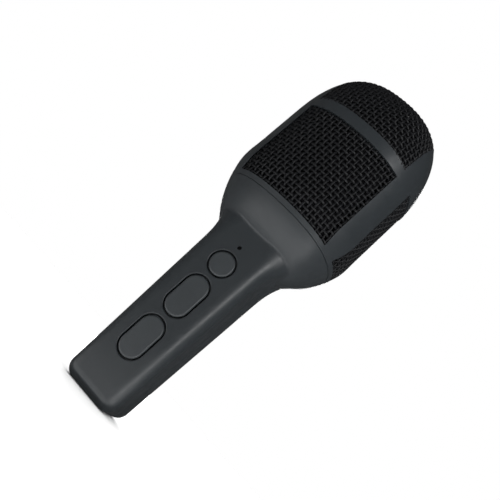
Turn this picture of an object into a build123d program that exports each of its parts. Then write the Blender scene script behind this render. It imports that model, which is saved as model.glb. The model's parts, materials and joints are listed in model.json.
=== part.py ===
"""Handheld karaoke microphone with a square wire-grille head, a loudspeaker inside and three grip buttons.

Frame: millimetres, +Z from the flat end of the grip towards the head, the button face looks along -Y,
+X to the right of someone facing the buttons. The origin is the centre of the flat end of the grip.
"""
import os
from math import atan, cos, pi, sin, sqrt

from build123d import *

os.makedirs("parts", exist_ok=True)

# ---------------------------------------------------------------- driving dimensions
# grip
grip_length = 100.0          # flat end to the neck, where the bowl of the head begins
grip_width_low = 30.2        # across the flat end
grip_width_high = 35.8       # across at the neck
grip_depth_low = 33.4        # front to back at the flat end
grip_depth_high = 39.8       # front to back at the neck
front_corner_radius = 6.4
rear_corner_radius = 8.0
end_radius = 6.0             # rounding round the flat end
wall = 2.2                   # moulded shell wall
end_wall = 2.6
seam_gap = 0.12              # hairline between the two shells

# head
head_width = 75.0            # square head, the same front to back
squareness = 2.39            # exponent of the superellipse that the head has in plan
bowl_height = 29.0           # neck to the widest level
bowl_drop_side = 37.3        # height over which the bowl would close, seen from the front
bowl_drop_front = 29.7       # the same, seen from the side
bowl_root_height = 5.0       # how far the bowl reaches down inside the flare
bowl_trim = 2.0              # cut off above the seam
bowl_power = 1.41
bowl_root = 2.66
flare_height = 16.0          # the grip's sides flare out over this height below the neck
flare_width = 3.8            # how far each side has flared out at the neck
flare_power = 2.7
flare_rounding = 1.5         # growth of the corner radii for each unit of flare
grip_overlap = 4.6           # how far the grip runs up inside the bowl
cage_height = 36.4           # straight part of the head
dome_rise = 42.3
dome_power = 2.25
dome_root = 3.42
blend_radius = 2.0           # where the bowl meets the grip

# grille cage
rim_drop = 11.9              # seam between bowl and cage, below the widest level
rim_height = 2.4             # plastic rim between that seam and the windows
rim_gap = 0.25
window_half = 27.2           # half-width of the front, rear and top windows
window_height = 47.3
band_height = 6.2            # plastic band between a window and the top grille
side_window_half = 16.0
side_window_height = 51.5
cage_wall = 2.9
grille_inset = 0.5           # front, rear and side wire panels lie below the plastic
grille_proud = 0.3           # the top panel stands above it
grille_back = 2.85           # inner face of every wire panel
panel_gap = 0.1
loose_gap = 0.4              # round pieces that drop into place without touching
liner_gap = 0.25             # behind the cage
liner_thickness = 1.1        # the inner liner clamps the panels from behind
liner_lip = 1.5              # how far the liner reaches over each window
foam_gap = 0.25              # behind the liner
foam_thickness = 3.0
spigot_gap = 0.2             # between the bowl's wall and the cage's spigot inside it
spigot_thickness = 1.6

# buttons on the front face, as distances down the face from the neck
led_drop = 7.5
power_drop = 18.5
upper_drop = 39.9
lower_drop = 66.6
button_width = 12.2
rocker_length = 22.7
button_gap = 0.75            # groove round each cap
button_proud = 0.3
button_edge = 0.9            # rounding of the caps
hole_edge = 0.45             # rounding of the shell round each cap
flange_overhang = 0.6        # flange behind the shell, beyond the hole
flange_depth = 3.1           # below the face
flange_thickness = 0.9
stem_radius = 1.5
stem_depth = 5.6
stem_spread = 8.0            # from the rocker's pivot to each stem
pivot_depth = 4.8
pivot_radius = 0.8
bearing_gap = 0.05           # running clearance of the pivots

# key carrier
rail_gap = 0.55              # beside the flanges of the keys
rail_thickness = 1.2
rail_back = 7.2
bar_depth = 6.1
bar_width = 2.4

# electronics
switch_size = 6.0
plunger_radius = 1.7
plunger_depth = 6.3
switch_top_depth = 7.4
board_depth = 10.5
board_thickness = 1.6
board_width = 24.0
board_top_drop = 4.0
board_bottom_drop = 87.0
board_screw_drops = (29.0, 83.0)
board_screw_x = 9.3
board_screw_bite = 4.0       # into the boss
led_pipe_radius = 0.9
battery_diameter = 18.4
battery_length = 65.0
battery_base = 12.5
battery_rear_gap = 0.5
battery_round = 0.8
usb_width = 8.94
usb_height = 3.2
usb_depth = 7.3
usb_corner = 1.2
usb_y = 5.0
usb_recess = 0.5
usb_board_thickness = 1.2
usb_board_gap = 1.2          # below the cell

# loudspeaker and microphone capsule
ledge_drop = 5.0             # ledge in the bowl, below the cage seam
ledge_thickness = 1.7
ledge_radius = 26.8          # round opening inside the ledge
baffle_thickness = 2.0
baffle_edge_gap = 0.35
speaker_radius = 24.0
basket_radius = 21.0
magnet_radius = 13.0
magnet_height = 8.0
magnet_chamfer = 0.5
speaker_depth = 17.0
flange_sheet = 1.0
cone_radius = 17.5
dust_cap_radius = 6.0
cone_hole_radius = 5.0       # under the dust cap
capsule_radius = 8.0
capsule_height = 8.0
holder_wall = 1.6
holder_reveal = 1.0          # how far the capsule stands out of its holder
capsule_round = 0.8
port_radius = 0.7
port_depth = 0.8
capsule_top_gap = 13.0       # below the crown of the head
bridge_half_depth = 5.5
bridge_thickness = 2.2

# fasteners and leads
shell_screw_radius = 1.0
screw_hole_gap = 0.1
screw_head_radius = 1.9
screw_head_height = 1.5
screw_head_recess = 1.2
cross_arm = 1.2              # cross recess of the heads
cross_half = 0.35
cross_depth = 0.7
boss_radius = 2.6
lower_screw_x = 8.2
lower_screw_z = 8.6
upper_screw_x = 7.8
upper_screw_gap = 0.77       # between its boss and the flange of the power key
pilot_depth = 7.0            # of the screws' holes, in front of the middle plane
board_boss_radius = 2.2
lead_radius = 0.6

# ---------------------------------------------------------------- derived places
neck_z = grip_length
head_half = head_width / 2
bowl_top_z = neck_z + bowl_height
dome_start_z = bowl_top_z + cage_height
crown_z = dome_start_z + dome_rise
seam_z = bowl_top_z - rim_drop
window_bottom_z = seam_z + rim_height
window_top_z = window_bottom_z + window_height
top_window_z = window_top_z + band_height
side_window_top_z = window_bottom_z + side_window_height
hole_width = button_width + 2 * button_gap
flange_width = hole_width + 2 * flange_overhang
rail_inner = flange_width / 2 + rail_gap
boss_reach = flange_width / 2 + boss_radius + upper_screw_gap
upper_screw_drop = power_drop - sqrt(boss_reach ** 2 - upper_screw_x ** 2)
liner_front = cage_wall + liner_gap
liner_back = liner_front + liner_thickness
foam_front = liner_back + foam_gap
foam_back = foam_front + foam_thickness
spigot_front = wall + spigot_gap
spigot_back = spigot_front + spigot_thickness
ledge_top_z = seam_z - ledge_drop
baffle_z = ledge_top_z + panel_gap
baffle_top_z = baffle_z + baffle_thickness
magnet_z = baffle_top_z - speaker_depth
battery_top_z = battery_base + battery_length
far = 200.0                  # half-size of the blocks that trim solids


def grip_half_width(z):
    return (grip_width_low + (grip_width_high - grip_width_low) * z / grip_length) / 2


def grip_half_depth(z):
    return (grip_depth_low + (grip_depth_high - grip_depth_low) * z / grip_length) / 2


battery_y = grip_half_depth(battery_base) - wall - battery_rear_gap - battery_diameter / 2
face_slope = (grip_depth_high - grip_depth_low) / 2 / grip_length
face_tilt = atan(face_slope)
face_up = Vector(0, -sin(face_tilt), cos(face_tilt))
face_in = Vector(0, cos(face_tilt), sin(face_tilt))


def face_plane(drop, depth):
    """Plane parallel to the button face: local x is +X, local y is up the face, local z is outwards."""
    top = Vector(0, -grip_half_depth(neck_z), neck_z)
    origin = top - face_up * drop + face_in * depth
    return Plane(origin=origin, x_dir=(1, 0, 0), z_dir=-face_in)


stand = (Align.CENTER, Align.CENTER, Align.MIN)   # solids that stand on their plane


def block(x_low, x_high, y_low, y_high, z_low, z_high):
    """Box between two corners, in the frame of the whole microphone."""
    with BuildPart(Plane.XY.offset(z_low), mode=Mode.PRIVATE) as box:
        with Locations(((x_low + x_high) / 2, (y_low + y_high) / 2, 0)):
            Box(x_high - x_low, y_high - y_low, z_high - z_low, align=stand)
    return box.part


# ---------------------------------------------------------------- profiles of the head
def bowl_share(z, drop):
    """Share of the full half-width that the bowl has at height z, closing over the given drop."""
    fall = min(max((bowl_top_z - z) / drop, 0.0), 1.0)
    return (1 - fall ** bowl_power) ** (1 / bowl_root)


def head_half_width(z):
    return head_half * bowl_share(z, bowl_drop_side)


def head_half_depth(z):
    inside_grip = grip_half_depth(z) * 0.86
    return max(head_half * bowl_share(z, bowl_drop_front), inside_grip)


def superellipse(half_x, half_y, z, count=24):
    """Closed smooth outline of the head at height z."""
    points = []
    for k in range(count):
        angle = 2 * pi * (k + 0.5) / count
        reach = (abs(cos(angle)) ** squareness + abs(sin(angle)) ** squareness) ** (-1 / squareness)
        points.append((half_x * reach * cos(angle), half_y * reach * sin(angle)))
    with BuildSketch(Plane.XY.offset(z)) as outline:
        with BuildLine():
            Spline(*points, periodic=True)
        make_face()
    return outline.sketch


def bowl_section(z, depth):
    return superellipse(head_half_width(z) - depth, head_half_depth(z) - depth, z)


def bowl_layer(depth, low_z, high_z):
    """Solid of a short stretch of the bowl between two levels, the given depth inside its surface."""
    steps = 4
    with BuildPart(mode=Mode.PRIVATE) as layer:
        loft([bowl_section(low_z + (high_z - low_z) * k / steps, depth) for k in range(steps + 1)])
    return layer.part


def head_skin(depth, bottom_z):
    """Solid of the head, the given depth inside its outer surface, from bottom_z to the crown."""
    half = head_half - depth
    rise = dome_rise - depth
    bowl_steps = 5
    levels = [bottom_z + (bowl_top_z - bottom_z) * k / bowl_steps for k in range(bowl_steps)]
    sections = [bowl_section(z, depth) for z in levels]
    cage_steps = 4
    for k in range(cage_steps):
        sections.append(superellipse(half, half, bowl_top_z + cage_height * k / cage_steps))
    dome_steps = 13
    last_angle = pi / 2 - 0.075
    for k in range(dome_steps):
        angle = last_angle * (k + 0.35) / (dome_steps - 0.65)
        reach = half * cos(angle) ** (2 / dome_root)
        sections.append(superellipse(reach, reach, dome_start_z + rise * sin(angle) ** (2 / dome_power)))
    with BuildPart(mode=Mode.PRIVATE) as skin:
        loft(sections)
    return skin.part


def bowl_solid(depth, top_z):
    """Solid of the bowl up to top_z, the given depth inside the surface, with its foot inside the grip."""
    steps = 24
    low_z = neck_z - bowl_root_height
    high_z = seam_z + bowl_trim
    with BuildPart(mode=Mode.PRIVATE) as bowl:
        loft([bowl_section(low_z + (high_z - low_z) * k / steps, depth) for k in range(steps + 1)])
        add(block(-far, far, -far, far, top_z, far), mode=Mode.SUBTRACT)
    return bowl.part


def flare(z):
    """How far each side of the grip has flared out at height z."""
    return flare_width * max((z - neck_z + flare_height) / flare_height, 0.0) ** flare_power


def grip_section(z, depth):
    swell = flare(z)
    growth = flare_rounding * swell - depth
    with BuildSketch(Plane.XY.offset(z)) as section:
        Rectangle(2 * (grip_half_width(z) + swell - depth), 2 * (grip_half_depth(z) - depth))
        fillet(section.vertices().group_by(Axis.Y)[0], front_corner_radius + growth)
        fillet(section.vertices().group_by(Axis.Y)[-1], rear_corner_radius + growth)
    return section.sketch


def grip_solid(depth, bottom_z):
    """Solid of the grip up to just above the neck, the given depth inside the outer surface."""
    top_z = neck_z + grip_overlap
    steps = 24
    with BuildPart(mode=Mode.PRIVATE) as grip:
        loft([grip_section(bottom_z + (top_z - bottom_z) * k / steps, depth) for k in range(steps + 1)])
        if depth == 0:
            fillet(grip.faces().sort_by(Axis.Z)[0].edges(), end_radius)
    return grip.part


def finish(solid, name):
    solid.label = name
    export_step(solid, f"parts/{name}.step")


def rod(start, end, radius):
    """Cylinder between two points."""
    axis = Vector(*end) - Vector(*start)
    with BuildPart(Plane(origin=start, z_dir=axis), mode=Mode.PRIVATE) as cylinder:
        Cylinder(radius, axis.length, align=stand)
    return cylinder.part


# ---------------------------------------------------------------- grip shells with the bowl
bowl_outside = bowl_solid(0, seam_z - rim_gap / 2)
bowl_inside = bowl_solid(wall, seam_z + 1)
grip_outside = grip_solid(0, 0)
grip_inside = grip_solid(wall, end_wall)

with BuildPart() as outer_body:
    add(grip_outside)
    add(bowl_outside)
    seam_edges = [
        edge for edge in outer_body.edges()
        if neck_z - bowl_root_height < edge.center().Z < seam_z - 1 and edge.geom_type == GeomType.BSPLINE
    ]
    fillet(seam_edges, blend_radius)

ledge_bottom_z = ledge_top_z - ledge_thickness
ledge_overlap = 0.4
with BuildPart() as ledge:
    add(bowl_layer(wall - ledge_overlap, ledge_bottom_z, ledge_top_z))
    add(rod((0, 0, ledge_bottom_z - 1), (0, 0, ledge_top_z + 1), ledge_radius), mode=Mode.SUBTRACT)

with BuildPart() as hollow_body:
    add(outer_body.part)
    add(grip_inside, mode=Mode.SUBTRACT)
    add(bowl_inside, mode=Mode.SUBTRACT)
    add(ledge.part)


def screw_places():
    """Centres (x, z) of the four screws that hold the shells together."""
    upper_z = neck_z - upper_screw_drop
    return [
        (side * x, z)
        for x, z in ((lower_screw_x, lower_screw_z), (upper_screw_x, upper_z))
        for side in (-1, 1)
    ]


def rims_key_hole(edge):
    """Whether an edge of the front shell is the outer rim of a key's hole."""
    face_origin = face_plane(0, 0).origin
    tolerance = 0.05
    spots = [edge @ share for share in (0, 0.25, 0.5, 0.75)]
    on_face = all(abs((spot - face_origin).dot(face_in)) < tolerance for spot in spots)
    in_column = all(abs(spot.X) < hole_width / 2 + tolerance for spot in spots)
    return on_face and in_column and spots[0].Z < neck_z - power_drop + hole_width / 2 + tolerance


with BuildPart() as front_shell:
    add(hollow_body.part)
    for x, z in screw_places():
        add(rod((x, 0, z), (x, -grip_half_depth(z) + wall / 2, z), boss_radius))
    for drop in board_screw_drops:
        with BuildSketch(face_plane(drop, wall / 2)):
            with Locations((-board_screw_x, 0), (board_screw_x, 0)):
                Circle(board_boss_radius)
        extrude(amount=-(board_depth - wall / 2))
    add(block(-far, far, -seam_gap / 2, far, -far, far), mode=Mode.SUBTRACT)
    with BuildSketch(face_plane(power_drop, -1)):
        Circle(hole_width / 2)
    extrude(amount=-(wall + 2), mode=Mode.SUBTRACT)
    for drop in (upper_drop, lower_drop):
        with BuildSketch(face_plane(drop, -1)):
            SlotOverall(rocker_length + 2 * button_gap, hole_width, rotation=90)
        extrude(amount=-(wall + 2), mode=Mode.SUBTRACT)
    with BuildSketch(face_plane(led_drop, -1)):
        Circle(led_pipe_radius + panel_gap)
    extrude(amount=-(wall + 2), mode=Mode.SUBTRACT)
    hole_rims = [edge for edge in front_shell.edges() if rims_key_hole(edge)]
    fillet(hole_rims, hole_edge)
    for x, z in screw_places():
        add(rod((x, 1, z), (x, -pilot_depth, z), shell_screw_radius + bearing_gap), mode=Mode.SUBTRACT)
    for drop in board_screw_drops:
        with BuildSketch(face_plane(drop, board_depth + 1)):
            with Locations((-board_screw_x, 0), (board_screw_x, 0)):
                Circle(shell_screw_radius + bearing_gap)
        extrude(amount=1 + board_screw_bite + 1, mode=Mode.SUBTRACT)

finish(front_shell.part, "front_shell")

battery_radius = battery_diameter / 2
rib_thickness = 2.0
rib_levels = [battery_base + battery_length * share for share in (0.15, 0.5, 0.85)]
usb_post_x = 3.6
usb_board_y = usb_y + usb_height / 2 + panel_gap
usb_board_top_z = battery_base - usb_board_gap
usb_post_half = 1.2
usb_post_drop = 2.0          # the posts end below the board's top edge

with BuildPart() as cradle_ribs:
    for z in rib_levels:
        with BuildSketch(Plane.XY.offset(z - rib_thickness / 2)):
            with Locations((0, battery_y + battery_radius)):
                Rectangle(2 * (grip_half_width(z) - wall / 2), battery_diameter)
            with Locations((0, battery_y)):
                Circle(battery_radius + panel_gap, mode=Mode.SUBTRACT)
        extrude(amount=rib_thickness)
    add(grip_solid(wall / 2, end_wall), mode=Mode.INTERSECT)

with BuildPart() as rear_shell:
    add(hollow_body.part)
    for x, z in screw_places():
        add(rod((x, 0, z), (x, grip_half_depth(z) - wall / 2, z), boss_radius))
    add(cradle_ribs.part)
    for side in (-1, 1):
        x = side * usb_post_x
        rear_y = grip_half_depth(0) - wall / 2
        post_y = usb_board_y + usb_board_thickness
        post_top_z = usb_board_top_z - usb_post_drop
        add(block(x - usb_post_half, x + usb_post_half, post_y, rear_y, end_wall / 2, post_top_z))
    add(block(-far, far, -far, seam_gap / 2, -far, far), mode=Mode.SUBTRACT)
    for x, z in screw_places():
        rear_y = grip_half_depth(z)
        add(rod((x, -1, z), (x, rear_y + 1, z), shell_screw_radius + screw_hole_gap), mode=Mode.SUBTRACT)
        seat_y = rear_y - screw_head_recess - screw_head_height
        add(rod((x, seat_y, z), (x, rear_y + 1, z), screw_head_radius + screw_hole_gap), mode=Mode.SUBTRACT)
    with BuildSketch(Plane.XY.offset(-1)):
        with Locations((0, usb_y)):
            RectangleRounded(usb_width + 2 * panel_gap, usb_height + 2 * panel_gap, usb_corner + panel_gap)
    extrude(amount=end_wall + 2, mode=Mode.SUBTRACT)

finish(rear_shell.part, "rear_shell")

with BuildPart() as shell_screws:
    for x, z in screw_places():
        seat_y = grip_half_depth(z) - screw_head_recess - screw_head_height
        tip_y = -pilot_depth + 1
        add(rod((x, tip_y, z), (x, seat_y, z), shell_screw_radius))
        add(rod((x, seat_y, z), (x, seat_y + screw_head_height, z), screw_head_radius))
        slot_y = seat_y + screw_head_height - cross_depth
        for across, up in ((cross_arm, cross_half), (cross_half, cross_arm)):
            add(block(x - across, x + across, slot_y, far, z - up, z + up), mode=Mode.SUBTRACT)

finish(shell_screws.part, "shell_screws")

# ---------------------------------------------------------------- grille cage
cage_bottom_z = seam_z + rim_gap / 2
spigot_bottom_z = baffle_top_z + 0.1
outer_skin = head_skin(0, cage_bottom_z)
cage_inner_skin = head_skin(cage_wall, cage_bottom_z)
window_cutters = [
    block(-window_half, window_half, -far, 0, window_bottom_z, window_top_z),
    block(-window_half, window_half, 0, far, window_bottom_z, window_top_z),
    block(-far, 0, -side_window_half, side_window_half, window_bottom_z, side_window_top_z),
    block(0, far, -side_window_half, side_window_half, window_bottom_z, side_window_top_z),
    block(-window_half, window_half, -far, far, top_window_z, far * 2),
]

with BuildPart() as grille_frame:
    add(outer_skin)
    add(cage_inner_skin, mode=Mode.SUBTRACT)
    for cutter in window_cutters:
        add(cutter, mode=Mode.SUBTRACT)
    add(bowl_layer(spigot_front, spigot_bottom_z, window_bottom_z))
    add(bowl_layer(spigot_back, spigot_bottom_z - 1, window_bottom_z + 1), mode=Mode.SUBTRACT)

finish(grille_frame.part, "grille_frame")

panel_back_skin = head_skin(grille_back, cage_bottom_z)


def wire_panel(name, front_skin, x_range, y_range, z_range):
    """Closed panel that fills one window, in the layer between its front skin and the liner."""
    with BuildPart() as panel:
        add(front_skin)
        add(panel_back_skin, mode=Mode.SUBTRACT)
        add(block(*x_range, *y_range, *z_range), mode=Mode.INTERSECT)
    finish(panel.part, name)


inset_skin = head_skin(grille_inset, cage_bottom_z)
proud_skin = head_skin(-grille_proud, cage_bottom_z)
panel_across = (-window_half + panel_gap, window_half - panel_gap)
side_across = (-side_window_half + panel_gap, side_window_half - panel_gap)
panel_levels = (window_bottom_z + panel_gap, window_top_z - panel_gap)
side_levels = (window_bottom_z + panel_gap, side_window_top_z - panel_gap)
wire_panel("front_grille", inset_skin, panel_across, (-far, -1), panel_levels)
wire_panel("rear_grille", inset_skin, panel_across, (1, far), panel_levels)
wire_panel("left_grille", inset_skin, (-far, -1), side_across, side_levels)
wire_panel("right_grille", inset_skin, (1, far), side_across, side_levels)
wire_panel("top_grille", proud_skin, panel_across, (-far, far), (top_window_z + panel_gap, 2 * far))

liner_bottom_z = window_bottom_z + 0.1
with BuildPart() as grille_liner:
    add(head_skin(liner_front, cage_bottom_z))
    add(head_skin(liner_back, cage_bottom_z), mode=Mode.SUBTRACT)
    add(block(-far, far, -far, far, -far, liner_bottom_z), mode=Mode.SUBTRACT)
    opening = window_half - liner_lip
    low = window_bottom_z + liner_lip
    high = window_top_z - liner_lip
    side_opening = side_window_half - liner_lip
    side_high = side_window_top_z - liner_lip
    add(block(-opening, opening, -far, far, low, high), mode=Mode.SUBTRACT)
    add(block(-far, far, -side_opening, side_opening, low, side_high), mode=Mode.SUBTRACT)
    add(block(-opening, opening, -far, far, top_window_z + liner_lip, 2 * far), mode=Mode.SUBTRACT)

finish(grille_liner.part, "grille_liner")

with BuildPart() as foam_windscreen:
    add(head_skin(foam_front, cage_bottom_z))
    add(head_skin(foam_back, cage_bottom_z), mode=Mode.SUBTRACT)
    add(block(-far, far, -far, far, -far, liner_bottom_z), mode=Mode.SUBTRACT)

finish(foam_windscreen.part, "foam_windscreen")

# ---------------------------------------------------------------- loudspeaker
baffle_hole_radius = basket_radius + loose_gap
lead_hole_radius = 1.6
capsule_lead_x = 22.6
capsule_lead_y = 12.0
with BuildPart() as speaker_baffle:
    with BuildSketch(Plane.XY.offset(baffle_z)):
        edge_gap = wall + baffle_edge_gap
        add(superellipse(head_half_width(baffle_z) - edge_gap, head_half_depth(baffle_z) - edge_gap, 0))
        Circle(baffle_hole_radius, mode=Mode.SUBTRACT)
        with Locations((capsule_lead_x, capsule_lead_y)):
            Circle(lead_hole_radius, mode=Mode.SUBTRACT)
    extrude(amount=baffle_thickness)

finish(speaker_baffle.part, "speaker_baffle")

magnet_top_z = magnet_z + magnet_height
basket_wall = 0.9
basket_foot_radius = magnet_radius - 1
with BuildPart() as speaker_basket:
    with BuildSketch(Plane.XZ):
        with BuildLine():
            Polyline(
                (basket_foot_radius - 4, magnet_top_z),
                (basket_foot_radius, magnet_top_z),
                (basket_radius, baffle_z),
                (basket_radius, baffle_top_z),
                (speaker_radius, baffle_top_z),
                (speaker_radius, baffle_top_z + flange_sheet),
                (basket_radius - basket_wall, baffle_top_z + flange_sheet),
                (basket_radius - basket_wall, baffle_z),
                (basket_foot_radius - basket_wall, magnet_top_z + basket_wall),
                (basket_foot_radius - 4, magnet_top_z + basket_wall),
                close=True,
            )
        make_face()
    revolve(axis=Axis.Z)
    vent_radius = 3.0
    vent_ring = (basket_foot_radius + basket_radius) / 2
    with PolarLocations(vent_ring, 6):
        Cylinder(vent_radius, 2 * baffle_top_z, mode=Mode.SUBTRACT)
    trim_z = baffle_z - 0.5
    trim_top_z = baffle_top_z + flange_sheet
    add(rod((0, 0, trim_z), (0, 0, trim_top_z), basket_radius - basket_wall), mode=Mode.SUBTRACT)

finish(speaker_basket.part, "speaker_basket")

with BuildPart(Plane.XY.offset(magnet_z)) as speaker_magnet:
    Cylinder(magnet_radius, magnet_height, align=stand)
    chamfer(speaker_magnet.edges().filter_by(GeomType.CIRCLE), magnet_chamfer)

finish(speaker_magnet.part, "speaker_magnet")

cone_edge_lift = 0.2
coil_height = 3.5
cone_sheet = 0.5
glue_line = 0.05
cone_edge_z = baffle_top_z + flange_sheet + cone_edge_lift
cone_centre_z = magnet_top_z + coil_height
with BuildPart() as speaker_cone:
    with BuildSketch(Plane.XZ):
        with BuildLine():
            Polyline(
                (cone_hole_radius, cone_centre_z),
                (cone_radius, cone_edge_z),
                (cone_radius, cone_edge_z + cone_sheet),
                (cone_hole_radius, cone_centre_z + cone_sheet),
                close=True,
            )
        make_face()
    revolve(axis=Axis.Z)

finish(speaker_cone.part, "speaker_cone")

cone_slope = (cone_edge_z - cone_centre_z) / (cone_radius - cone_hole_radius)
cap_z = cone_centre_z + cone_sheet + cone_slope * (dust_cap_radius - cone_hole_radius) + glue_line
cap_rise = 2.8
cap_sphere = (dust_cap_radius ** 2 + cap_rise ** 2) / (2 * cap_rise)
cap_centre_z = cap_z + cap_rise - cap_sphere
with BuildPart() as speaker_dust_cap:
    with Locations((0, 0, cap_centre_z)):
        Sphere(cap_sphere)
        Sphere(cap_sphere - cone_sheet, mode=Mode.SUBTRACT)
    add(block(-far, far, -far, far, -far, cap_z), mode=Mode.SUBTRACT)

finish(speaker_dust_cap.part, "speaker_dust_cap")

roll_radius = (basket_radius - basket_wall - cone_radius) / 2
roll_centre = cone_radius + roll_radius
roll_sheet = 0.45
roll_z = cone_edge_z + cone_sheet + glue_line
roll_overlap = 0.4           # how far the roll reaches over the cone and the basket
with BuildPart() as speaker_surround:
    with BuildSketch(Plane.XZ):
        with Locations((roll_centre, roll_z)):
            Circle(roll_radius + roll_overlap)
            Circle(roll_radius + roll_overlap - roll_sheet, mode=Mode.SUBTRACT)
        with Locations((roll_centre, roll_z - far / 2)):
            Rectangle(far, far, mode=Mode.SUBTRACT)
    revolve(axis=Axis.Z)

finish(speaker_surround.part, "speaker_surround")

gasket_height = 1.2
gasket_inner_radius = basket_radius + 0.6
with BuildPart(Plane.XY.offset(baffle_top_z + flange_sheet)) as speaker_gasket:
    Cylinder(speaker_radius, gasket_height, align=stand)
    Cylinder(gasket_inner_radius, gasket_height, align=stand, mode=Mode.SUBTRACT)

finish(speaker_gasket.part, "speaker_gasket")

# ---------------------------------------------------------------- capsule on its bridge
capsule_top_z = crown_z - capsule_top_gap
capsule_z = capsule_top_z - capsule_height
holder_floor = 1.5
holder_z = capsule_z - holder_floor
holder_radius = capsule_radius + holder_wall
bridge_top_z = holder_z
leg_x = speaker_radius + bridge_thickness / 2 + loose_gap
bridge_shoulder_z = bowl_top_z + cage_height * 0.6
bridge_bar_half = holder_radius + 1.5   # flat bar under the holder
with BuildPart() as capsule_bridge:
    with BuildSketch(Plane.XZ):
        with BuildLine():
            outer_line = Polyline(
                (leg_x, baffle_top_z),
                (leg_x, bridge_shoulder_z),
                (bridge_bar_half, bridge_top_z - bridge_thickness / 2),
                (-bridge_bar_half, bridge_top_z - bridge_thickness / 2),
                (-leg_x, bridge_shoulder_z),
                (-leg_x, baffle_top_z),
            )
            offset(outer_line, bridge_thickness / 2, kind=Kind.INTERSECTION)
        make_face()
    extrude(amount=bridge_half_depth, both=True)
    add(block(-far, far, -far, far, -far, baffle_top_z), mode=Mode.SUBTRACT)
    add(rod((0, 0, bridge_top_z - 4), (0, 0, bridge_top_z + 4), capsule_radius / 2), mode=Mode.SUBTRACT)

finish(capsule_bridge.part, "capsule_bridge")

with BuildPart() as capsule_holder:
    add(rod((0, 0, holder_z), (0, 0, capsule_top_z - holder_reveal), holder_radius))
    fillet(capsule_holder.edges().filter_by(GeomType.CIRCLE).group_by(Axis.Z)[0], capsule_round)
    add(rod((0, 0, capsule_z), (0, 0, capsule_top_z), capsule_radius), mode=Mode.SUBTRACT)
    add(rod((0, 0, holder_z - 1), (0, 0, capsule_z), capsule_radius / 2), mode=Mode.SUBTRACT)

finish(capsule_holder.part, "capsule_holder")

with BuildPart() as microphone_capsule:
    add(rod((0, 0, capsule_z), (0, 0, capsule_top_z), capsule_radius - bearing_gap))
    fillet(microphone_capsule.edges().filter_by(GeomType.CIRCLE).group_by(Axis.Z)[-1], capsule_round)
    port_ring = capsule_radius * 0.55
    with Locations((0, 0, capsule_top_z)):
        with PolarLocations(port_ring, 6):
            Cylinder(port_radius, 2 * port_depth, mode=Mode.SUBTRACT)

finish(microphone_capsule.part, "microphone_capsule")

# ---------------------------------------------------------------- buttons
with BuildPart() as power_button:
    with BuildSketch(face_plane(power_drop, flange_depth)):
        Circle(button_width / 2)
    extrude(amount=flange_depth + button_proud)
    fillet(power_button.edges().filter_by(GeomType.CIRCLE).group_by(Axis.Y)[0], button_edge)
    with BuildSketch(face_plane(power_drop, flange_depth + flange_thickness)):
        Circle(flange_width / 2)
    extrude(amount=flange_thickness)
    with BuildSketch(face_plane(power_drop, stem_depth)):
        Circle(stem_radius)
    extrude(amount=stem_depth - flange_depth)

finish(power_button.part, "power_button")

pivot_reach = rail_inner + rail_thickness - panel_gap
block_half = flange_width / 2 - loose_gap


def rocker(name, drop):
    """Two-way key: an oblong cap that tips about a pivot across the middle of its back."""
    flange_length = rocker_length + 2 * button_gap + 2 * flange_overhang
    pivot = face_plane(drop, pivot_depth)
    with BuildPart() as key:
        with BuildSketch(face_plane(drop, flange_depth)):
            SlotOverall(rocker_length, button_width, rotation=90)
        extrude(amount=flange_depth + button_proud)
        fillet(key.faces().sort_by(Axis.Y)[0].edges(), button_edge)
        with BuildSketch(face_plane(drop, flange_depth + flange_thickness)):
            SlotOverall(flange_length, flange_width, rotation=90)
        extrude(amount=flange_thickness)
        with BuildSketch(face_plane(drop, pivot_depth + pivot_radius)):
            Rectangle(2 * block_half, 3 * pivot_radius)
        extrude(amount=pivot_radius + pivot_depth - flange_depth)
        left = pivot.from_local_coords((-pivot_reach, 0, 0))
        right = pivot.from_local_coords((pivot_reach, 0, 0))
        add(rod(left, right, pivot_radius))
        with BuildSketch(face_plane(drop, stem_depth)):
            with Locations((0, -stem_spread), (0, stem_spread)):
                Circle(stem_radius)
        extrude(amount=stem_depth - flange_depth)
    finish(key.part, name)


rocker("upper_rocker", upper_drop)
rocker("lower_rocker", lower_drop)

# ---------------------------------------------------------------- key carrier, glued behind the front face
rail_top_drop = board_screw_drops[0] + board_boss_radius + loose_gap
rail_bottom_drop = lower_drop + rocker_length / 2 + button_gap + flange_overhang
bar_drops = (upper_drop, (upper_drop + lower_drop) / 2, lower_drop, rail_bottom_drop - bar_width / 2)
with BuildPart() as key_carrier:
    rail_centre_drop = (rail_top_drop + rail_bottom_drop) / 2
    rail_x = rail_inner + rail_thickness / 2
    with BuildSketch(face_plane(rail_centre_drop, rail_back)):
        with Locations((-rail_x, 0), (rail_x, 0)):
            Rectangle(rail_thickness, rail_bottom_drop - rail_top_drop)
    extrude(amount=rail_back - wall - bearing_gap)
    for drop in bar_drops:
        with BuildSketch(face_plane(drop, rail_back)):
            Rectangle(2 * rail_x, bar_width)
        extrude(amount=rail_back - bar_depth)
    for drop in (upper_drop, lower_drop):
        pivot = face_plane(drop, pivot_depth)
        left = pivot.from_local_coords((-2 * rail_inner, 0, 0))
        right = pivot.from_local_coords((2 * rail_inner, 0, 0))
        add(rod(left, right, pivot_radius + bearing_gap), mode=Mode.SUBTRACT)

finish(key_carrier.part, "key_carrier")

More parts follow.
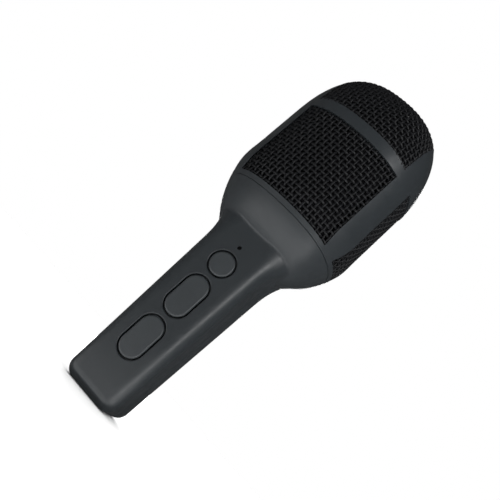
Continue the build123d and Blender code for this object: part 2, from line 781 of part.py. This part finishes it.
# ---------------------------------------------------------------- main board
board_back = board_depth + board_thickness
board_centre_drop = (board_top_drop + board_bottom_drop) / 2
board_length = board_bottom_drop - board_top_drop
with BuildPart() as main_board:
    with BuildSketch(face_plane(board_centre_drop, board_back)):
        Rectangle(board_width, board_length)
        notch_radius = boss_radius + loose_gap
        notch_y = board_centre_drop - upper_screw_drop
        with Locations((-upper_screw_x, notch_y), (upper_screw_x, notch_y)):
            Circle(notch_radius, mode=Mode.SUBTRACT)
        for drop in board_screw_drops:
            y = board_centre_drop - drop
            with Locations((-board_screw_x, y), (board_screw_x, y)):
                Circle(shell_screw_radius + screw_hole_gap, mode=Mode.SUBTRACT)
    extrude(amount=board_thickness)

finish(main_board.part, "main_board")

switch_drops = (
    power_drop,
    upper_drop - stem_spread,
    upper_drop + stem_spread,
    lower_drop - stem_spread,
    lower_drop + stem_spread,
)
with BuildPart() as tact_switches:
    for drop in switch_drops:
        with BuildSketch(face_plane(drop, board_depth)):
            Rectangle(switch_size, switch_size)
        extrude(amount=board_depth - switch_top_depth)
        with BuildSketch(face_plane(drop, board_depth)):
            Circle(plunger_radius)
        extrude(amount=board_depth - plunger_depth)

finish(tact_switches.part, "tact_switches")

led_height = 0.8
led_size = 1.6
with BuildPart() as status_led:
    with BuildSketch(face_plane(led_drop, board_depth)):
        Rectangle(led_size, led_size)
    extrude(amount=led_height)

finish(status_led.part, "status_led")

pipe_recess = 0.5
pipe_foot_radius = 1.6
with BuildPart() as led_light_pipe:
    pipe_bottom = board_depth - led_height - panel_gap
    with BuildSketch(face_plane(led_drop, pipe_bottom)):
        Circle(led_pipe_radius)
    extrude(amount=pipe_bottom - pipe_recess)
    with BuildSketch(face_plane(led_drop, pipe_bottom)):
        Circle(pipe_foot_radius)
    extrude(amount=pipe_bottom - wall - panel_gap)

finish(led_light_pipe.part, "led_light_pipe")

part_height = 1.4
chip_drops = (8.5, 19.5)
with BuildPart() as board_chips:
    for drop, width, length in ((chip_drops[0], 7.0, 5.0), (chip_drops[1], 9.0, 9.0)):
        with BuildSketch(face_plane(drop, board_back + part_height)):
            Rectangle(width, length)
        extrude(amount=part_height)

finish(board_chips.part, "board_chips")

connector_width = 8.0
connector_length = 5.0
connector_height = 4.5
connector_wall = 0.8
connector_mouth_depth = 1.0
connector_drop = board_screw_drops[1]
with BuildPart() as battery_connector:
    with BuildSketch(face_plane(connector_drop, board_depth)):
        Rectangle(connector_width, connector_length)
    extrude(amount=connector_height)
    with BuildSketch(face_plane(connector_drop + connector_length / 2, board_depth - connector_height / 2)):
        Rectangle(connector_width - 2 * connector_wall, 2 * connector_mouth_depth)
    extrude(amount=connector_height / 2 - connector_wall, mode=Mode.SUBTRACT)

finish(battery_connector.part, "battery_connector")

with BuildPart() as board_screws:
    for drop in board_screw_drops:
        with BuildSketch(face_plane(drop, board_back)):
            with Locations((-board_screw_x, 0), (board_screw_x, 0)):
                Circle(shell_screw_radius)
        extrude(amount=board_thickness + board_screw_bite)
        with BuildSketch(face_plane(drop, board_back + screw_head_height)):
            with Locations((-board_screw_x, 0), (board_screw_x, 0)):
                Circle(screw_head_radius)
        extrude(amount=screw_head_height)

finish(board_screws.part, "board_screws")

# ---------------------------------------------------------------- battery and charging socket
with BuildPart() as battery_cell:
    add(rod((0, battery_y, battery_base), (0, battery_y, battery_top_z), battery_radius))
    fillet(battery_cell.edges().filter_by(GeomType.CIRCLE), battery_round)

finish(battery_cell.part, "battery_cell")

pad_thickness = 0.6
pad_width = 10.0
pad_length = 46.0
with BuildPart() as battery_pad:
    pad_drop = neck_z - battery_base - battery_length / 2
    with BuildSketch(face_plane(pad_drop, board_back + pad_thickness)):
        Rectangle(pad_width, pad_length)
    extrude(amount=pad_thickness)

finish(battery_pad.part, "battery_pad")

usb_sheet = 0.35
usb_back = 1.0               # closed back of the socket
tongue_width = 6.7
tongue_thickness = 0.7
tongue_recess = 1.0
with BuildPart() as usb_socket:
    with BuildSketch(Plane.XY.offset(usb_recess)):
        with Locations((0, usb_y)):
            RectangleRounded(usb_width, usb_height, usb_corner)
    extrude(amount=usb_depth)
    with BuildSketch(Plane.XY.offset(usb_recess)):
        with Locations((0, usb_y)):
            RectangleRounded(usb_width - 2 * usb_sheet, usb_height - 2 * usb_sheet, usb_corner - usb_sheet)
    extrude(amount=usb_depth - usb_back, mode=Mode.SUBTRACT)

finish(usb_socket.part, "usb_socket")

with BuildPart() as usb_tongue:
    add(block(
        -tongue_width / 2, tongue_width / 2,
        usb_y - tongue_thickness / 2, usb_y + tongue_thickness / 2,
        usb_recess + tongue_recess, usb_recess + usb_depth - usb_back,
    ))

finish(usb_tongue.part, "usb_tongue")

usb_board_half = 5.2
with BuildPart() as usb_board:
    add(block(
        -usb_board_half, usb_board_half,
        usb_board_y, usb_board_y + usb_board_thickness,
        end_wall + 0.1, usb_board_top_z,
    ))

finish(usb_board.part, "usb_board")


# ---------------------------------------------------------------- leads inside
def lead(points, bend):
    """Round lead along straight runs joined by tangent arcs."""
    with BuildLine() as path:
        FilletPolyline(*points, radius=bend)
    with BuildPart(mode=Mode.PRIVATE) as wire:
        with BuildSketch(Plane(origin=path.wire() @ 0, z_dir=path.wire() % 0)):
            Circle(lead_radius)
        sweep(path=path.wire())
    return wire.part


def board_spot(x, drop):
    """Place of a lead that lies on the back of the main board."""
    return face_plane(drop, board_back + lead_radius + 0.05).from_local_coords((x, 0, 0))


solder_drop = board_top_drop + 1.2
solder_x = 8.0
board_edge_x = 14.0
lead_pitch = 1.5
capsule_spot = board_spot(solder_x, solder_drop)
capsule_route = [
    (0, 0, holder_z + holder_floor / 2),
    (0, 0, bridge_top_z - bridge_thickness - 8),
    (capsule_lead_x, capsule_lead_y, bridge_shoulder_z - 8),
    (capsule_lead_x, capsule_lead_y, ledge_bottom_z - 4),
    (magnet_radius + 3.5, 3, neck_z - 0.5),
    (board_edge_x, capsule_spot.Y, capsule_spot.Z + 0.5),
    tuple(capsule_spot),
]
with BuildPart() as capsule_leads:
    add(lead(capsule_route, 2.5))

finish(capsule_leads.part, "capsule_leads")

with BuildPart() as speaker_leads:
    for k in (0, 1):
        spot = board_spot(-solder_x, solder_drop + lead_pitch * k)
        y = 2 + lead_pitch * k
        add(lead([
            (-magnet_radius - 4.4, y, magnet_top_z + 3.2),
            (-magnet_radius - 8, y, magnet_top_z + 0.4),
            (-magnet_radius - 4.5, y - 5, neck_z - 1.5),
            (-board_edge_x, spot.Y, spot.Z + 0.5),
            tuple(spot),
        ], 1.6))

finish(speaker_leads.part, "speaker_leads")

connector_mouth = face_plane(connector_drop + connector_length / 2, board_depth - connector_height / 2)
with BuildPart() as battery_leads:
    for k in (-1, 1):
        x = k * 1.6
        mouth = connector_mouth.from_local_coords((x, 0.9, lead_radius + 0.1))
        add(lead([
            (x, battery_y - 3, battery_base - 0.05),
            (x, battery_y - 3, battery_base - 3.5),
            (x, mouth.Y, battery_base - 5),
            tuple(mouth),
        ], 1.6))

finish(battery_leads.part, "battery_leads")
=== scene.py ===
"""Looks of the handheld karaoke microphone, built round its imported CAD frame. Blender units are metres."""
import json
import math

import bpy
import numpy as np
from mathutils import Matrix, Quaternion, Vector


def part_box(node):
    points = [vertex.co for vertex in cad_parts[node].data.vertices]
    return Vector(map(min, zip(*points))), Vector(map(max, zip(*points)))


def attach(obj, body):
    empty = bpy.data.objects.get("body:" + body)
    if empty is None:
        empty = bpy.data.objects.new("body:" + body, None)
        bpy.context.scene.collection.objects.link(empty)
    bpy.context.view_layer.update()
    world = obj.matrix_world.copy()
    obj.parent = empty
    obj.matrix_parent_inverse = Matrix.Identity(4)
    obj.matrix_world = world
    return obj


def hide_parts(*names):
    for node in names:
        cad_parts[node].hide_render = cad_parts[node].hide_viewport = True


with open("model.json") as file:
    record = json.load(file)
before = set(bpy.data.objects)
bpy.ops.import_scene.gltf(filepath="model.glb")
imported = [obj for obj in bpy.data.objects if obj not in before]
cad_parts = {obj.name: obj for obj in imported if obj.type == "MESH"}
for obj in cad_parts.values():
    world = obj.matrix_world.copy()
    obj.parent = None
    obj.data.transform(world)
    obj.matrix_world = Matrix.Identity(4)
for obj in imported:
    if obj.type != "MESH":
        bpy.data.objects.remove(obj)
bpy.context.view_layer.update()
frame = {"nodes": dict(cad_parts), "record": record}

MM = 0.001
HOUSING = "housing"

# ---------------------------------------------------------------- camera at the photograph's angle
CAMERA_TURN = math.radians(16.4)        # to the microphone's right of its button face
CAMERA_RISE = math.radians(-13.9)       # looking up from below the middle
CAMERA_ROLL = math.radians(48.4)        # the microphone leans to the right in the picture
CAMERA_DISTANCE = 308 * MM
CAMERA_LENS = 45.3
AIM_ACROSS = -1.7 * MM
AIM_HEIGHT = 100.2 * MM


def make_camera():
    a, e = CAMERA_TURN, CAMERA_RISE
    back = Vector((math.sin(a) * math.cos(e), -math.cos(a) * math.cos(e), math.sin(e)))
    right = Vector((math.cos(a), math.sin(a), 0))
    up = back.cross(right)
    target = right * AIM_ACROSS + Vector((0, 0, AIM_HEIGHT))
    cam = bpy.data.objects.new("camera", bpy.data.cameras.new("camera"))
    bpy.context.scene.collection.objects.link(cam)
    image_up = up * math.cos(CAMERA_ROLL) - right * math.sin(CAMERA_ROLL)
    image_right = image_up.cross(back)
    turn = Matrix((image_right, image_up, back)).transposed()
    cam.matrix_world = Matrix.Translation(target + back * CAMERA_DISTANCE) @ turn.to_4x4()
    cam.data.lens = CAMERA_LENS
    cam.data.clip_start = 0.01
    cam.data.clip_end = 60
    bpy.context.scene.camera = cam


make_camera()


# ---------------------------------------------------------------- materials
class Recipe:
    """A small helper that lays out the nodes of one procedural material."""

    def __init__(self, name, color, roughness, metallic=0.0):
        self.material = bpy.data.materials.new(name)
        self.material.use_nodes = True
        self.tree = self.material.node_tree
        self.shader = self.tree.nodes["Principled BSDF"]
        self.shader.inputs["Base Color"].default_value = (*color, 1)
        self.shader.inputs["Roughness"].default_value = roughness
        self.shader.inputs["Metallic"].default_value = metallic
        self.place = self.tree.nodes.new("ShaderNodeTexCoord").outputs["Object"]

    def node(self, kind, **inputs):
        made = self.tree.nodes.new(kind)
        for key, value in inputs.items():
            slot = made.inputs[key.replace("_", " ")]
            if isinstance(value, bpy.types.NodeSocket):
                self.tree.links.new(value, slot)
            else:
                slot.default_value = value
        return made

    def noise(self, scale, detail=3.0, roughness=0.5):
        settings = {"Scale": scale, "Detail": detail, "Roughness": roughness}
        return self.node("ShaderNodeTexNoise", Vector=self.place, **settings).outputs["Fac"]

    def cells(self, scale):
        return self.node("ShaderNodeTexVoronoi", Vector=self.place, Scale=scale).outputs["Distance"]

    def spread(self, value, low, high, source=(0.0, 1.0)):
        """Maps a source range onto low..high."""
        made = self.node("ShaderNodeMapRange", Value=value, From_Min=source[0], From_Max=source[1])
        made.inputs["To Min"].default_value = low
        made.inputs["To Max"].default_value = high
        return made.outputs["Result"]

    def mix(self, factor, first, second):
        made = self.tree.nodes.new("ShaderNodeMix")
        made.data_type = "RGBA"
        self.tree.links.new(factor, made.inputs["Factor"])
        made.inputs["A"].default_value = (*first, 1)
        made.inputs["B"].default_value = (*second, 1)
        return made.outputs["Result"]

    def drive(self, socket, value):
        self.tree.links.new(value, self.shader.inputs[socket])

    def bump(self, height, distance, strength=1.0):
        made = self.node("ShaderNodeBump", Height=height, Distance=distance, Strength=strength)
        if self.shader.inputs["Normal"].is_linked:
            previous = self.shader.inputs["Normal"].links[0].from_socket
            self.tree.links.new(previous, made.inputs["Normal"])
        self.drive("Normal", made.outputs["Normal"])


def scaled(color, factor):
    return tuple(c * factor for c in color)


def moulded_plastic(name, color, roughness, grain=0.012 * MM):
    """Spark-eroded satin plastic: fine grain, faint flow shading and slightly uneven gloss."""
    recipe = Recipe(name, color, roughness)
    flow = recipe.noise(45, 4)
    recipe.drive("Base Color", recipe.mix(flow, scaled(color, 0.9), scaled(color, 1.12)))
    gloss = recipe.noise(260, 3)
    recipe.drive("Roughness", recipe.spread(gloss, roughness - 0.05, roughness + 0.06, (0.3, 0.7)))
    recipe.bump(recipe.cells(5200), grain, 0.7)
    recipe.bump(recipe.noise(1500, 4, 0.65), grain * 1.4, 0.6)
    return recipe.material


def coated_wire(name, color):
    """Powder coat on wire: orange-peel bump, with painted shade darkening the colour in its dips; roughness
    rises towards its crests.
    """
    recipe = Recipe(name, color, 0.45)
    peel_and_dip_shade = recipe.noise(2600, 3)
    # painted shade: the base colour is darker where the orange peel dips
    recipe.drive("Base Color", recipe.mix(peel_and_dip_shade, scaled(color, 0.75), scaled(color, 1.3)))
    recipe.drive("Roughness", recipe.spread(peel_and_dip_shade, 0.36, 0.54, (0.3, 0.7)))
    recipe.bump(peel_and_dip_shade, 0.03 * MM, 0.8)
    recipe.shader.inputs["Specular IOR Level"].default_value = 0.3
    return recipe.material


def open_foam(name, color):
    """Open-cell foam: bumped cells, with painted shade darkening the pores between lighter ribs."""
    recipe = Recipe(name, color, 0.95)
    pores = recipe.cells(1300)
    painted_pore_shade = recipe.spread(pores, 0, 1, (0.1, 0.7))
    # painted shade: the colour darkens towards the middle of each pore, where the bump dips, and lightens on
    # the ribs between
    recipe.drive("Base Color", recipe.mix(painted_pore_shade, scaled(color, 0.4), scaled(color, 1.8)))
    recipe.bump(pores, 0.25 * MM, 1.0)
    recipe.shader.inputs["Specular IOR Level"].default_value = 0.15
    return recipe.material


def plain_moulding(name, color, roughness, specular=0.5):
    """Small inner pieces: speckled colour and a faint surface grain."""
    recipe = Recipe(name, color, roughness)
    recipe.shader.inputs["Specular IOR Level"].default_value = specular
    speck = recipe.noise(900, 3)
    recipe.drive("Base Color", recipe.mix(speck, scaled(color, 0.8), scaled(color, 1.25)))
    recipe.bump(speck, 0.02 * MM, 0.6)
    return recipe.material


def metal(name, color, roughness):
    """Plated or pressed metal with fine rubbed lines."""
    recipe = Recipe(name, color, roughness, 1.0)
    stretched = recipe.node("ShaderNodeMapping", Vector=recipe.place)
    stretched.inputs["Scale"].default_value = (1, 1, 12)
    rubbing = recipe.node("ShaderNodeTexNoise", Vector=stretched.outputs["Vector"], Scale=900, Detail=2)
    lines = rubbing.outputs["Fac"]
    recipe.drive("Roughness", recipe.spread(lines, roughness - 0.08, roughness + 0.12, (0.3, 0.7)))
    recipe.drive("Base Color", recipe.mix(lines, scaled(color, 0.85), scaled(color, 1.1)))
    recipe.bump(lines, 0.01 * MM, 0.5)
    return recipe.material


def circuit_board(name):
    """Green solder mask over copper: tracks show as lighter lines."""
    recipe = Recipe(name, (0.012, 0.07, 0.035), 0.3)
    tracks = recipe.node("ShaderNodeTexBrick", Vector=recipe.place, Scale=260).outputs["Fac"]
    recipe.drive("Base Color", recipe.mix(tracks, (0.012, 0.075, 0.035), (0.03, 0.14, 0.06)))
    recipe.bump(tracks, 0.03 * MM, 0.5)
    return recipe.material


CHARCOAL = (0.024, 0.0285, 0.032)
KEY_GREY = (0.037, 0.0425, 0.0465)
WIRE_BLACK = (0.009, 0.0095, 0.011)
materials = {
    "shell_plastic": moulded_plastic("charcoal_plastic", CHARCOAL, 0.40),
    "key_plastic": moulded_plastic("key_plastic", KEY_GREY, 0.44),
    "grille_wire": coated_wire("coated_wire", WIRE_BLACK),
    "inner_plastic": plain_moulding("inner_plastic", (0.012, 0.012, 0.013), 0.6),
    "foam": open_foam("windscreen_foam", (0.006, 0.006, 0.007)),
    "basket_steel": plain_moulding("basket_coat", (0.02, 0.02, 0.02), 0.45),
    "magnet": plain_moulding("magnet_ferrite", (0.035, 0.035, 0.037), 0.5),
    "cone_paper": plain_moulding("cone_paper", (0.02, 0.02, 0.021), 0.85),
    "soft_rubber": plain_moulding("soft_rubber", (0.013, 0.013, 0.014), 0.7),
    "bright_metal": metal("nickel_plate", (0.55, 0.55, 0.54), 0.3),
    "circuit_board": circuit_board("solder_mask"),
    "switch_plastic": plain_moulding("switch_nylon", (0.03, 0.03, 0.031), 0.5),
    "led": plain_moulding("led_resin", (0.6, 0.62, 0.6), 0.2),
    "smoked_plastic": plain_moulding("smoked_acrylic", (0.003, 0.003, 0.003), 0.3, 0.1),
    "chip_plastic": plain_moulding("chip_epoxy", (0.012, 0.012, 0.012), 0.55),
    "connector_plastic": plain_moulding("connector_nylon", (0.6, 0.57, 0.5), 0.5),
    "dark_screws": metal("black_zinc", (0.06, 0.06, 0.065), 0.35),
    "battery_sleeve": plain_moulding("battery_sleeve", (0.015, 0.07, 0.22), 0.3),
    "lead_sleeve": plain_moulding("lead_sleeve", (0.22, 0.012, 0.012), 0.5),
}


def dress_frame():
    """Gives each CAD node the material of its slot."""
    slots = {row["node"]: row["material_slot"] for row in frame["record"]["subparts"]}
    for name, node in frame["nodes"].items():
        node.data.materials.clear()
        node.data.materials.append(materials[slots[name]])


dress_frame()

# ---------------------------------------------------------------- shape of the head, from the frame
SQUARENESS = 2.39                 # exponent of the head's outline in plan
BOWL_POWER = 1.41
BOWL_ROOT = 2.66
DOME_POWER = 2.25
DOME_ROOT = 3.42
CAGE_HEIGHT = 36.4 * MM
DOME_RISE = 42.3 * MM
BOWL_DROP_FRONT = 29.7 * MM       # the bowl is deeper at its sides than at its front
BOWL_DROP_SIDE = 37.3 * MM
GRILLE_PROUD = 0.3 * MM           # the top panel stands above the plastic
GRILLE_INSET = 0.5 * MM           # the other panels lie below it

crown_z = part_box("top_grille")[1].z - GRILLE_PROUD
dome_start_z = crown_z - DOME_RISE
bowl_top_z = dome_start_z - CAGE_HEIGHT
head_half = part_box("right_grille")[1].x + GRILLE_INSET


def head_reach(z, depth, drop=BOWL_DROP_FRONT):
    """Half-width of the head at heights z, the given depth inside its surface."""
    half = head_half - depth
    rise = DOME_RISE - depth
    up = np.clip((z - dome_start_z) / rise, 0, 1)
    down = np.clip((bowl_top_z - z) / drop, 0, 1)
    dome = half * (1 - up ** DOME_POWER) ** (1 / DOME_ROOT)
    bowl = head_half * (1 - down ** BOWL_POWER) ** (1 / BOWL_ROOT) - depth
    return np.where(z > dome_start_z, dome, bowl)


def across(u, z, depth, drop=BOWL_DROP_FRONT, drop_over_u=BOWL_DROP_SIDE):
    """Distance of the surface from its middle plane, at height z and offset u from the other middle plane."""
    reach = head_reach(z, depth, drop)
    share = np.abs(u) / head_reach(z, depth, drop_over_u)
    return reach * np.maximum(1 - share ** SQUARENESS, 0) ** (1 / SQUARENESS)


# ---------------------------------------------------------------- woven wire
PITCH = 2.45 * MM
WIRE = 1.12 * MM
WAVE = 0.36 * WIRE                # half of the height that a wire swings through
STEPS = 6                         # samples of a wire per pitch
SIDES = 7
TUCK = 0.45 * MM                  # wires run on behind the edge of their window
MESH_DEPTH = WAVE + WIRE / 2      # middle of the weave, below its outermost point
DOME_ARC = 40 * MM                # radius that turns angles over the dome into lengths
BEYOND_HEAD = 80 * MM             # surely outside the head, where the search for its surface starts
SEARCH_STEPS = 34


def tube(points, radius, sides=SIDES):
    """Vertices and faces of a closed round tube along points."""
    points = np.asarray(points)
    along = np.gradient(points, axis=0)
    along /= np.linalg.norm(along, axis=1)[:, None]
    guide = np.array([0.0, 0.0, 1.0]) if abs(along[:, 2]).max() < 0.9 else np.array([1.0, 0.0, 0.0])
    if abs(along @ guide).max() > 0.95:
        guide = np.cross(along[0], along[len(along) // 2])
        guide /= np.linalg.norm(guide) or 1
    side = np.cross(along, guide)
    side /= np.linalg.norm(side, axis=1)[:, None]
    other = np.cross(side, along)
    angles = np.arange(sides) * 2 * np.pi / sides
    cosines, sines = np.cos(angles)[None, :, None], np.sin(angles)[None, :, None]
    ring = cosines * side[:, None, :] + sines * other[:, None, :]
    vertices = (points[:, None, :] + radius * ring).reshape(-1, 3)
    count = len(points)
    faces = []
    for k in range(count - 1):
        for s in range(sides):
            t = (s + 1) % sides
            faces.append((k * sides + s, k * sides + t, (k + 1) * sides + t, (k + 1) * sides + s))
    faces.append(tuple(range(sides - 1, -1, -1)))
    faces.append(tuple((count - 1) * sides + s for s in range(sides)))
    return vertices, faces


def mesh_object(name, parts, material):
    """One object from several (vertices, faces) parts."""
    vertices, faces, start = [], [], 0
    for part_vertices, part_faces in parts:
        vertices.append(np.asarray(part_vertices))
        faces += [tuple(start + i for i in face) for face in part_faces]
        start += len(part_vertices)
    mesh = bpy.data.meshes.new(name)
    mesh.from_pydata(np.vstack(vertices).tolist(), [], faces)
    mesh.validate()
    mesh.shade_smooth()
    mesh.materials.append(material)
    made = bpy.data.objects.new(name, mesh)
    bpy.context.scene.collection.objects.link(made)
    return made


def normals_of(surface, u, v):
    """Outward normals of surface(u, v) by small differences."""
    step = 0.02 * MM
    du = surface(u + step, v) - surface(u - step, v)
    dv = surface(u, v + step) - surface(u, v - step)
    normal = np.cross(du, dv)
    return normal / np.linalg.norm(normal, axis=-1, keepdims=True)


def evenly(curve, low, high, pitch):
    """Values between low and high, a pitch apart along the curve, centred, with how many there are."""
    fine = np.linspace(low, high, 800)
    lengths = np.concatenate([[0], np.cumsum(np.linalg.norm(np.diff(curve(fine), axis=0), axis=1))])
    count = int(round(lengths[-1] / pitch))
    stations = np.linspace(0, lengths[-1], count + 1)
    return np.interp(stations, lengths, fine), count


def weave(name, surface, u_range, v_range):
    """Plain weave of round wires over surface(u, v): wires of each set swing over and under the other set."""
    u_mid, v_mid = sum(u_range) / 2, sum(v_range) / 2
    u_marks, u_count = evenly(lambda u: surface(u, np.full_like(u, v_mid)), *u_range, PITCH)
    v_marks, v_count = evenly(lambda v: surface(np.full_like(v, u_mid), v), *v_range, PITCH)
    parts = []

    def run(fixed, marks, count, index, along_v):
        cells = np.linspace(0, count, count * STEPS + 1)
        moving = np.interp(cells, np.arange(count + 1), marks)
        u = np.full_like(moving, fixed) if along_v else moving
        v = moving if along_v else np.full_like(moving, fixed)
        side = (1 if along_v else -1) * (-1) ** index
        height = side * WAVE * np.cos(np.pi * (cells - 0.5))
        points = surface(u, v) + height[:, None] * normals_of(surface, u, v)
        for end, inner in ((0, 1), (-1, -2)):
            run_out = points[end] - points[inner]
            points[end] += run_out / np.linalg.norm(run_out) * TUCK
        parts.append(tube(points, WIRE / 2))

    for i in range(u_count):
        run((u_marks[i] + u_marks[i + 1]) / 2, v_marks, v_count, i, True)
    for j in range(v_count):
        run((v_marks[j] + v_marks[j + 1]) / 2, u_marks, u_count, j, False)
    return mesh_object(name, parts, materials["grille_wire"])


def wall_surface(direction, depth):
    """Surface of one side of the cage: u runs across it and v is the height."""
    turn = math.radians({"front": 0, "right": 90, "rear": 180, "left": 270}[direction])
    drops = BOWL_DROP_FRONT, BOWL_DROP_SIDE
    if direction in ("left", "right"):
        drops = drops[::-1]

    def surface(u, v):
        out = across(u, v, depth, *drops)
        x = u * math.cos(turn) + out * math.sin(turn)
        y = u * math.sin(turn) - out * math.cos(turn)
        return np.stack([x, y, v], -1)

    return surface


def dome_surface(depth, radius):
    """Surface of the dome: u is X, and v / radius is the angle from the crown, towards the rear."""
    def surface(u, v):
        angle = v / radius
        low, high = np.zeros_like(angle), np.full_like(angle, BEYOND_HEAD)
        for _ in range(SEARCH_STEPS):
            reach = (low + high) / 2
            y, z = reach * np.sin(angle), dome_start_z + reach * np.cos(angle)
            top = dome_start_z + DOME_RISE - depth
            limit = head_reach(np.minimum(z, top), depth)
            outside = (np.abs(u) ** SQUARENESS + np.abs(y) ** SQUARENESS) ** (1 / SQUARENESS) > limit
            outside |= z >= top
            high = np.where(outside, reach, high)
            low = np.where(outside, low, reach)
        return np.stack([u, low * np.sin(angle), dome_start_z + low * np.cos(angle)], -1)

    return surface


def put_in_place(wires, node):
    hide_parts(node)
    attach(wires, HOUSING)


def weave_walls():
    for side in ("front", "rear", "left", "right"):
        node = side + "_grille"
        low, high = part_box(node)
        width = high.x - low.x if side in ("front", "rear") else high.y - low.y
        surface = wall_surface(side, GRILLE_INSET + MESH_DEPTH)
        put_in_place(weave(node + "_wires", surface, (-width / 2, width / 2), (low.z, high.z)), node)


def weave_dome():
    low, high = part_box("top_grille")
    edge_out = across(np.array(0.0), np.array(low.z), MESH_DEPTH)
    edge = math.atan2(edge_out, low.z - dome_start_z) * DOME_ARC
    surface = dome_surface(MESH_DEPTH - GRILLE_PROUD, DOME_ARC)
    put_in_place(weave("top_grille_wires", surface, (low.x, high.x), (-edge, edge)), "top_grille")


weave_walls()
weave_dome()


# ---------------------------------------------------------------- stage and light
FLOOR_REACH = 12.0
ROOM_GLOW_LEFT = 0.11             # the room is dimmer on the microphone's right
ROOM_GLOW_RIGHT = 0.04
BACKDROP_GLOW = 1.0
FLOOR_SUN = 3.3
FLOOR_SUN_SPREAD = math.radians(120)


def make_floor():
    mesh = bpy.data.meshes.new("floor")
    corners = [(x * FLOOR_REACH, y * FLOOR_REACH, 0) for x, y in ((-1, -1), (1, -1), (1, 1), (-1, 1))]
    mesh.from_pydata(corners, [], [(0, 1, 2, 3)])
    floor = bpy.data.objects.new("floor", mesh)
    bpy.context.scene.collection.objects.link(floor)
    recipe = Recipe("pale_floor", (0.9, 0.9, 0.9), 0.9)
    cloud = recipe.noise(3, 2)
    recipe.drive("Base Color", recipe.mix(cloud, (0.88, 0.88, 0.88), (0.92, 0.92, 0.92)))
    recipe.shader.inputs["Specular IOR Level"].default_value = 0.0
    mesh.materials.append(recipe.material)
    floor.visible_glossy = False
    return floor


def area_light(name, location, target, energy, size, size_y=None):
    light = bpy.data.lights.new(name, "AREA")
    light.energy = energy
    light.size = size
    if size_y:
        light.shape = "RECTANGLE"
        light.size_y = size_y
    made = bpy.data.objects.new(name, light)
    bpy.context.scene.collection.objects.link(made)
    made.location = location
    made.rotation_mode = "QUATERNION"
    made.rotation_quaternion = (Vector(location) - Vector(target)).to_track_quat("Z", "Y")
    return made


def strip_light(name, azimuth, distance, low, high, width, energy):
    """Upright softbox round the microphone: azimuth counts from the button face towards the right."""
    turn = math.radians(azimuth)
    place = Vector((math.sin(turn) * distance, -math.cos(turn) * distance, (low + high) / 2))
    area_light(name, place, (0, 0, place.z), energy, width, high - low)


def floor_card(name, azimuth, distance, width, depth, energy):
    """Reflector lying before the microphone, seen only as a reflection in its bowl."""
    turn = math.radians(azimuth)
    place = Vector((math.sin(turn) * distance, -math.cos(turn) * distance, 2 * MM))
    card = area_light(name, place, place + Vector((0, 0, 1)), energy, width, depth)
    card.rotation_quaternion = Quaternion((0, 0, 1), turn) @ Quaternion((1, 0, 0), math.pi)
    card.visible_camera = False
    card.visible_diffuse = False


def make_room():
    """White to the camera, and otherwise a dim glow that fades towards the microphone's right."""
    world = bpy.data.worlds.new("studio")
    world.use_nodes = True
    nodes, links = world.node_tree.nodes, world.node_tree.links
    dim = nodes["Background"]
    dim.inputs["Color"].default_value = (1, 1, 1, 1)
    direction = nodes.new("ShaderNodeTexCoord").outputs["Generated"]
    across_room = nodes.new("ShaderNodeSeparateXYZ")
    links.new(direction, across_room.inputs["Vector"])
    glow = nodes.new("ShaderNodeMapRange")
    links.new(across_room.outputs["X"], glow.inputs["Value"])
    glow.inputs["From Min"].default_value = -1
    glow.inputs["To Min"].default_value = ROOM_GLOW_LEFT
    glow.inputs["To Max"].default_value = ROOM_GLOW_RIGHT
    links.new(glow.outputs["Result"], dim.inputs["Strength"])
    backdrop = nodes.new("ShaderNodeBackground")
    backdrop.inputs["Color"].default_value = (1, 1, 1, 1)
    backdrop.inputs["Strength"].default_value = BACKDROP_GLOW
    path = nodes.new("ShaderNodeLightPath")
    mix = nodes.new("ShaderNodeMixShader")
    links.new(path.outputs["Is Camera Ray"], mix.inputs["Fac"])
    links.new(dim.outputs["Background"], mix.inputs[1])
    links.new(backdrop.outputs["Background"], mix.inputs[2])
    links.new(mix.outputs["Shader"], nodes["World Output"].inputs["Surface"])
    bpy.context.scene.world = world


def light_floor(floor):
    """Broad overhead light that falls on the floor alone and keeps it pale to the horizon."""
    sun = bpy.data.lights.new("floor_light", "SUN")
    sun.energy = FLOOR_SUN
    sun.angle = FLOOR_SUN_SPREAD
    overhead = bpy.data.objects.new("floor_light", sun)
    bpy.context.scene.collection.objects.link(overhead)
    overhead.location = (0, 0, 1)
    only_floor = bpy.data.collections.new("floor_only")
    only_floor.objects.link(floor)
    overhead.light_linking.receiver_collection = only_floor


def make_lights(floor):
    make_room()
    strip_light("key_softbox", azimuth=48, distance=0.6, low=0.0, high=0.55, width=0.11, energy=2.0)
    strip_light("front_fill", azimuth=-5, distance=1.2, low=0.0, high=0.3, width=0.6, energy=0.15)
    floor_card("front_card", azimuth=0, distance=0.072, width=0.20, depth=0.11, energy=0.10)
    floor_card("key_card", azimuth=62, distance=0.12, width=0.06, depth=0.14, energy=0.09)
    area_light("rear_softbox", (-0.20, 0.75, 0.40), target=(0, 0, 0.10), energy=7, size=0.45)
    light_floor(floor)


make_lights(make_floor())
bpy.context.scene.view_settings.view_transform = "Standard"
